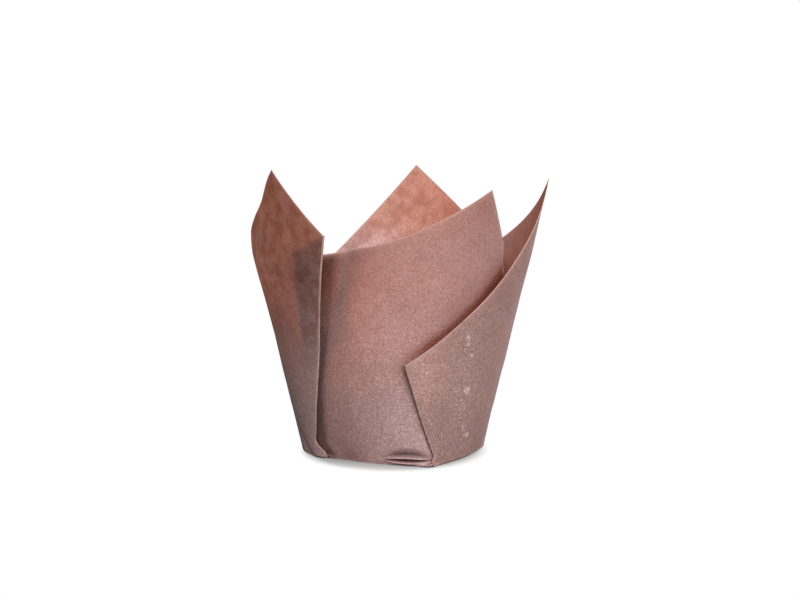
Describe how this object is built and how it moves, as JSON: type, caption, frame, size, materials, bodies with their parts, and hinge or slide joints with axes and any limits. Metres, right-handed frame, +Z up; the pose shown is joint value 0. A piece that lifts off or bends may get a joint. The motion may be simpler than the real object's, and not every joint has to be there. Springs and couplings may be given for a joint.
{
  "type": "tulip cupcake liner",
  "caption": "Cupcake liner folded from a square sheet of brown baking paper: flat base, flaring pleated wall and pointed petals.",
  "frame": {"origin": "middle of the underside of the base", "axes": "+Z up through the open mouth, -Y towards the front of the picture, +X to its right"},
  "size_m": [0.0803, 0.0791, 0.077],
  "materials": {
    "baking_paper": "matt brown greaseproof baking paper, slightly translucent"
  },
  "bodies": {
    "root": {"folded_liner": "baking_paper"}
  },
  "joints": []
}
